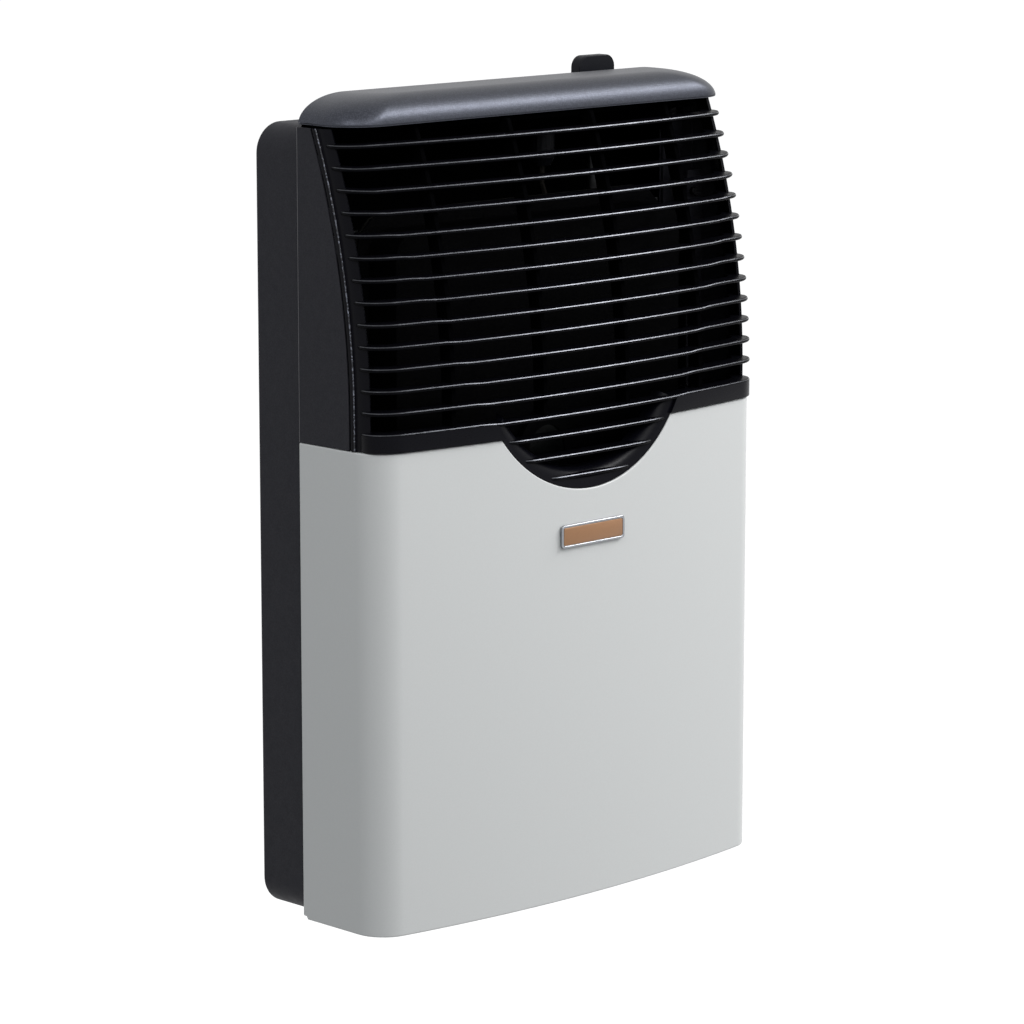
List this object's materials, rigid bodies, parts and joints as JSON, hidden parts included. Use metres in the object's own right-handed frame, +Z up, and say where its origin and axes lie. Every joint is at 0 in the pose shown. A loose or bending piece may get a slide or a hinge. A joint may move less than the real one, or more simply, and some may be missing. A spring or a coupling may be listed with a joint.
{
  "type": "wall mounted gas heater",
  "caption": "Wall hung balanced flue gas heater with a pale bowed lower panel, black louvred grille, dark rounded top cover, sealed combustion chamber and a push and turn knob.",
  "frame": {"origin": "middle of the back box's wall face, on the plane of the wall", "axes": "+X along the wall to the right when one faces the heater, +Y into the wall, +Z up"},
  "size_m": [0.395, 0.1495, 0.6122],
  "materials": {
    "pale_enamel": "smooth pale grey-white stove enamel, satin gloss",
    "charcoal_enamel": "charcoal stove enamel with a fine texture, low gloss",
    "satin_cover": "dark blue-grey metallic enamel with fine flake, satin",
    "black_satin": "black satin enamel",
    "black_plastic": "moulded black plastic, fine grain",
    "red_plastic": "moulded red plastic",
    "plate_chrome": "bright plated rim",
    "plate_copper": "brushed copper toned face, bare",
    "zinc_steel": "zinc plated sheet steel",
    "screw_steel": "zinc plated screws and spring wire",
    "aluminised_steel": "dull aluminised sheet steel",
    "enamelled_steel": "black enamelled pressed steel",
    "aluminium": "cast and drawn aluminium",
    "brass": "turned brass",
    "copper": "drawn copper",
    "ceramic": "glazed ceramic insulator",
    "lead_sleeve": "silicone sleeve",
    "rope_seal": "woven glass rope seal",
    "black_rubber": "black sealing rubber",
    "sight_glass": "clear heat resistant glass"
  },
  "bodies": {
    "casing": {"back_box": "charcoal_enamel", "back_plate": "charcoal_enamel", "side_panel_left": "charcoal_enamel", "side_panel_right": "charcoal_enamel", "front_panel": "pale_enamel", "grille": "black_satin", "top_cover": "satin_cover", "name_plate_bezel": "plate_chrome", "name_plate_face": "plate_copper", "top_rail": "charcoal_enamel", "base_tray": "zinc_steel", "chassis_rail_left": "charcoal_enamel", "chassis_rail_right": "charcoal_enamel", "chamber_bracket_left": "zinc_steel", "chamber_bracket_right": "zinc_steel", "heat_shield": "enamelled_steel", "cover_screw_left": "screw_steel", "cover_screw_right": "screw_steel", "base_screw_left": "screw_steel", "base_screw_right": "screw_steel", "rail_screw_left_lower": "screw_steel", "rail_screw_left_upper": "screw_steel", "rail_screw_right_lower": "screw_steel", "rail_screw_right_upper": "screw_steel", "grille_screw_left_lower": "screw_steel", "grille_screw_left_upper": "screw_steel", "grille_screw_right_lower": "screw_steel", "grille_screw_right_upper": "screw_steel", "chamber_rear": "enamelled_steel", "chamber_front": "enamelled_steel", "chamber_gasket": "rope_seal", "sight_glass": "sight_glass", "sight_glass_frame": "enamelled_steel", "flue_pipe": "aluminium", "intake_drum": "aluminium", "intake_gasket": "black_rubber", "air_duct": "aluminised_steel", "burner": "aluminised_steel", "burner_cradle": "zinc_steel", "injector": "brass", "pilot_bracket": "zinc_steel", "pilot_burner": "brass", "thermocouple": "copper", "spark_electrode": "ceramic", "ignition_lead": "lead_sleeve", "valve_bracket": "zinc_steel", "gas_valve": "aluminium", "inlet_fitting": "brass", "burner_pipe": "copper", "pilot_pipe": "aluminium", "press_spring": "screw_steel", "rod_guide": "zinc_steel", "knob_bezel": "black_plastic", "igniter_body": "black_plastic", "igniter_nut": "zinc_steel"},
    "collar": {"press_collar": "zinc_steel"},
    "knob": {"valve_stem": "brass", "control_rod": "zinc_steel", "control_knob": "black_plastic"},
    "button": {"igniter_button": "red_plastic"}
  },
  "joints": [
    {"name": "knob_press", "type": "slide", "parent": "casing", "child": "collar", "axis": [0, 0, -1], "range_m": [0, 0.006], "stiffness_N_per_m": 1500, "springref_m": -0.004, "deforming": ["press_spring"]},
    {"name": "knob_turn", "type": "hinge", "parent": "collar", "child": "knob", "pos_m": [0.124, -0.024, 0.3], "axis": [0, 0, 1], "range_deg": [0, 180]},
    {"name": "igniter_press", "type": "slide", "parent": "casing", "child": "button", "axis": [0, 0, -1], "range_m": [0, 0.005], "stiffness_N_per_m": 800, "springref_m": -0.003}
  ]
}
